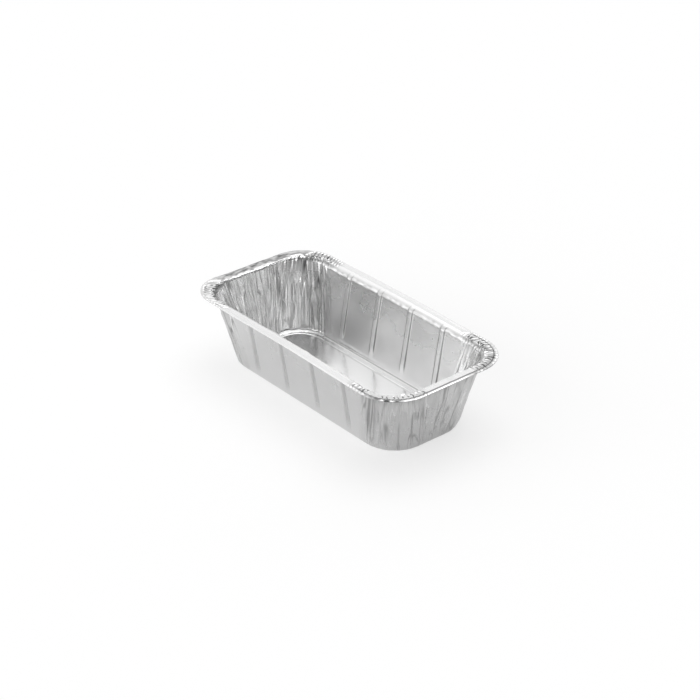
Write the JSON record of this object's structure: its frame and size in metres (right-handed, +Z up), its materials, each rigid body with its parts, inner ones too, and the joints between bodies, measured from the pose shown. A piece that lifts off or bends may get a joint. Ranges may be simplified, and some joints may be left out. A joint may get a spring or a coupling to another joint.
{
  "type": "foil steam table pan",
  "caption": "Deep rectangular aluminium foil pan with tapered ribbed walls, pleated corners, a flat flange and a rolled rim.",
  "frame": {"origin": "centre of the pan's outline, on the plane that its stand ring rests on", "axes": "+X along the long sides, towards the right end; +Y towards the back long side; +Z up, out of the open top"},
  "size_m": [0.3218, 0.1614, 0.078],
  "materials": {
    "foil": "bright rolled foil"
  },
  "bodies": {
    "root": {"base_panel": "foil", "front_wall": "foil", "front_flange": "foil", "front_rim_curl": "foil", "front_right_corner": "foil", "front_right_flange_corner": "foil", "front_right_rim_curl_corner": "foil", "right_end_wall": "foil", "right_flange": "foil", "right_rim_curl": "foil", "back_right_corner": "foil", "back_right_flange_corner": "foil", "back_right_rim_curl_corner": "foil", "back_wall": "foil", "back_flange": "foil", "back_rim_curl": "foil", "back_left_corner": "foil", "back_left_flange_corner": "foil", "back_left_rim_curl_corner": "foil", "left_end_wall": "foil", "left_flange": "foil", "left_rim_curl": "foil", "front_left_corner": "foil", "front_left_flange_corner": "foil", "front_left_rim_curl_corner": "foil"}
  },
  "joints": []
}
